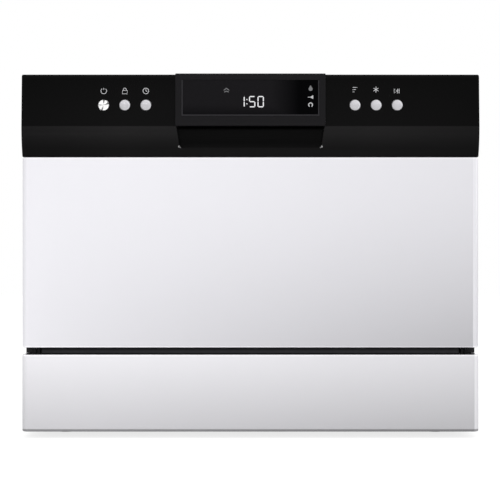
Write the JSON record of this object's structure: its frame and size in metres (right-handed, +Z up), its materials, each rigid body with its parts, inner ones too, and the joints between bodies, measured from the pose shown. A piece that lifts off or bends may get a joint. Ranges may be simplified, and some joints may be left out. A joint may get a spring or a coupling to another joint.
{
  "type": "countertop dishwasher",
  "caption": "Free-standing table-top dishwasher with a drop-down front door, a push-button control panel and a roll-out dish rack in a steel tub.",
  "frame": {"origin": "on the floor under the middle of the machine", "axes": "+Z up, the front with the door faces -Y, +X to the right as seen from the front"},
  "size_m": [0.55, 0.5, 0.438],
  "materials": {
    "black_gloss": "black high-gloss moulded panel",
    "bezel_black": "satin black moulded frame",
    "window_glass": "smoked display window",
    "silver_paint": "silver satin paint on steel",
    "cabinet_paint": "light silver-grey paint on steel",
    "zinc_steel": "zinc-plated sheet",
    "stainless": "brushed stainless sheet",
    "bright_metal": "bright metal-look cap",
    "satin_metal": "satin silver cap",
    "grey_rubber": "dark grey rubber",
    "dark_plastic": "dark moulded plastic",
    "grey_plastic": "grey moulded plastic",
    "white_plastic": "white moulded plastic",
    "light_plastic": "light grey moulded plastic",
    "board_green": "green circuit board",
    "coated_wire": "grey nylon-coated wire",
    "impeller_plastic": "amber moulded plastic",
    "black_steel": "black coated steel",
    "screw_steel": "zinc-plated screws"
  },
  "bodies": {
    "cabinet": {"base_tray": "dark_plastic", "kick_plate": "silver_paint", "sill_bar": "dark_plastic", "left_side_panel": "cabinet_paint", "right_side_panel": "cabinet_paint", "top_cover": "cabinet_paint", "rear_panel": "zinc_steel", "cabinet_screws": "screw_steel", "tub": "stainless", "door_seal": "grey_rubber", "rack_rails": "stainless", "sump": "grey_plastic", "filter_plate": "stainless", "wash_pump": "dark_plastic", "drain_pump": "dark_plastic", "flow_heater": "stainless", "inlet_valve": "white_plastic", "inlet_pipe": "grey_plastic", "air_break": "white_plastic", "drain_pipe": "grey_plastic", "drain_spigot": "grey_plastic", "cord_gland": "dark_plastic", "power_board": "board_green", "hinge_brackets": "black_steel", "door_springs": "black_steel", "latch_keeper": "zinc_steel"},
    "door": {"door_skin": "silver_paint", "control_panel": "black_gloss", "door_liner": "stainless", "display_bezel": "bezel_black", "display_window": "window_glass", "control_board": "board_green", "hinge_arms": "black_steel", "sill_seal": "grey_rubber", "dispenser_housing": "light_plastic", "latch_housing": "white_plastic"},
    "dispenser_lid": {"dispenser_lid": "light_plastic"},
    "rinse_aid_cap": {"rinse_aid_cap": "grey_plastic"},
    "latch_hook": {"latch_hook": "zinc_steel"},
    "power_button": {"power_button": "bright_metal"},
    "lock_button": {"lock_button": "satin_metal"},
    "delay_button": {"delay_button": "satin_metal"},
    "program_button": {"program_button": "satin_metal"},
    "function_button": {"function_button": "satin_metal"},
    "start_button": {"start_button": "satin_metal"},
    "rack": {"rack": "coated_wire", "rack_fittings": "light_plastic"},
    "rack_wheels_mid": {"rack_wheels_mid": "light_plastic"},
    "rack_wheels_rear": {"rack_wheels_rear": "light_plastic"},
    "cup_shelf_left": {"cup_shelf_left": "coated_wire"},
    "cup_shelf_right": {"cup_shelf_right": "coated_wire"},
    "cutlery_basket": {"cutlery_basket": "light_plastic"},
    "spray_arm": {"spray_arm": "grey_plastic"},
    "filter_cylinder": {"filter_cylinder": "grey_plastic"},
    "leak_float": {"leak_float": "white_plastic"},
    "wash_impeller": {"wash_impeller": "impeller_plastic"},
    "foot_front_left": {"foot_front_left": "dark_plastic"},
    "foot_front_right": {"foot_front_right": "dark_plastic"},
    "foot_rear_left": {"foot_rear_left": "dark_plastic"},
    "foot_rear_right": {"foot_rear_right": "dark_plastic"}
  },
  "joints": [
    {"name": "door_hinge", "type": "hinge", "parent": "cabinet", "child": "door", "pos_m": [0, -0.228, 0.118], "axis": [1, 0, 0], "range_deg": [0, 90], "deforming": ["door_springs"]},
    {"name": "rack_slide", "type": "slide", "parent": "cabinet", "child": "rack", "axis": [0, -1, 0], "range_m": [0, 0.19]},
    {"name": "wheels_mid_roll", "type": "hinge", "parent": "rack", "child": "rack_wheels_mid", "pos_m": [0, 0.025, 0.25], "axis": [1, 0, 0], "continuous": true},
    {"name": "wheels_rear_roll", "type": "hinge", "parent": "rack", "child": "rack_wheels_rear", "pos_m": [0, 0.165, 0.25], "axis": [1, 0, 0], "continuous": true},
    {"name": "shelf_left_fold", "type": "hinge", "parent": "rack", "child": "cup_shelf_left", "pos_m": [-0.226, 0, 0.298], "axis": [0, -1, 0], "range_deg": [0, 85]},
    {"name": "shelf_right_fold", "type": "hinge", "parent": "rack", "child": "cup_shelf_right", "pos_m": [0.226, 0, 0.298], "axis": [0, 1, 0], "range_deg": [0, 85]},
    {"name": "basket_lift", "type": "slide", "parent": "rack", "child": "cutlery_basket", "axis": [0, 0, 1], "range_m": [0, 0.055]},
    {"name": "detergent_lid_slide", "type": "slide", "parent": "door", "child": "dispenser_lid", "axis": [-1, 0, 0], "range_m": [0, 0.05]},
    {"name": "rinse_cap_turn", "type": "hinge", "parent": "door", "child": "rinse_aid_cap", "pos_m": [0.035, -0.197, 0.242], "axis": [0, 1, 0], "range_deg": [0, 90]},
    {"name": "latch_hook_tilt", "type": "hinge", "parent": "door", "child": "latch_hook", "pos_m": [0, -0.216, 0.426], "axis": [1, 0, 0], "range_deg": [0, 8]},
    {"name": "power_press", "type": "slide", "parent": "door", "child": "power_button", "axis": [0, 1, 0], "range_m": [0, 0.0015], "stiffness_N_per_m": 300},
    {"name": "lock_press", "type": "slide", "parent": "door", "child": "lock_button", "axis": [0, 1, 0], "range_m": [0, 0.0015], "stiffness_N_per_m": 300},
    {"name": "delay_press", "type": "slide", "parent": "door", "child": "delay_button", "axis": [0, 1, 0], "range_m": [0, 0.0015], "stiffness_N_per_m": 300},
    {"name": "program_press", "type": "slide", "parent": "door", "child": "program_button", "axis": [0, 1, 0], "range_m": [0, 0.0015], "stiffness_N_per_m": 300},
    {"name": "function_press", "type": "slide", "parent": "door", "child": "function_button", "axis": [0, 1, 0], "range_m": [0, 0.0015], "stiffness_N_per_m": 300},
    {"name": "start_press", "type": "slide", "parent": "door", "child": "start_button", "axis": [0, 1, 0], "range_m": [0, 0.0015], "stiffness_N_per_m": 300},
    {"name": "spray_arm_spin", "type": "hinge", "parent": "cabinet", "child": "spray_arm", "pos_m": [0, 0, 0.16], "axis": [0, 0, 1], "continuous": true},
    {"name": "filter_turn", "type": "hinge", "parent": "cabinet", "child": "filter_cylinder", "pos_m": [0.095, 0.06, 0.148], "axis": [0, 0, 1], "range_deg": [0, 45]},
    {"name": "leak_float_rise", "type": "slide", "parent": "cabinet", "child": "leak_float", "axis": [0, 0, 1], "range_m": [0, 0.01]},
    {"name": "impeller_spin", "type": "hinge", "parent": "cabinet", "child": "wash_impeller", "pos_m": [-0.05, 0.06, 0.075], "axis": [1, 0, 0], "continuous": true},
    {"name": "foot_front_left_turn", "type": "hinge", "parent": "cabinet", "child": "foot_front_left", "pos_m": [-0.23, -0.154, 0.004], "axis": [0, 0, 1], "continuous": true},
    {"name": "foot_front_right_turn", "type": "hinge", "parent": "cabinet", "child": "foot_front_right", "pos_m": [0.23, -0.154, 0.004], "axis": [0, 0, 1], "continuous": true},
    {"name": "foot_rear_left_turn", "type": "hinge", "parent": "cabinet", "child": "foot_rear_left", "pos_m": [-0.23, 0.19, 0.004], "axis": [0, 0, 1], "continuous": true},
    {"name": "foot_rear_right_turn", "type": "hinge", "parent": "cabinet", "child": "foot_rear_right", "pos_m": [0.23, 0.19, 0.004], "axis": [0, 0, 1], "continuous": true}
  ],
  "couplings": [
    {"joint": "rack_slide", "follows": "door_hinge", "m_per_rad": 0.1209},
    {"joint": "wheels_mid_roll", "follows": "door_hinge", "ratio": 15.113},
    {"joint": "wheels_rear_roll", "follows": "door_hinge", "ratio": 15.113}
  ]
}
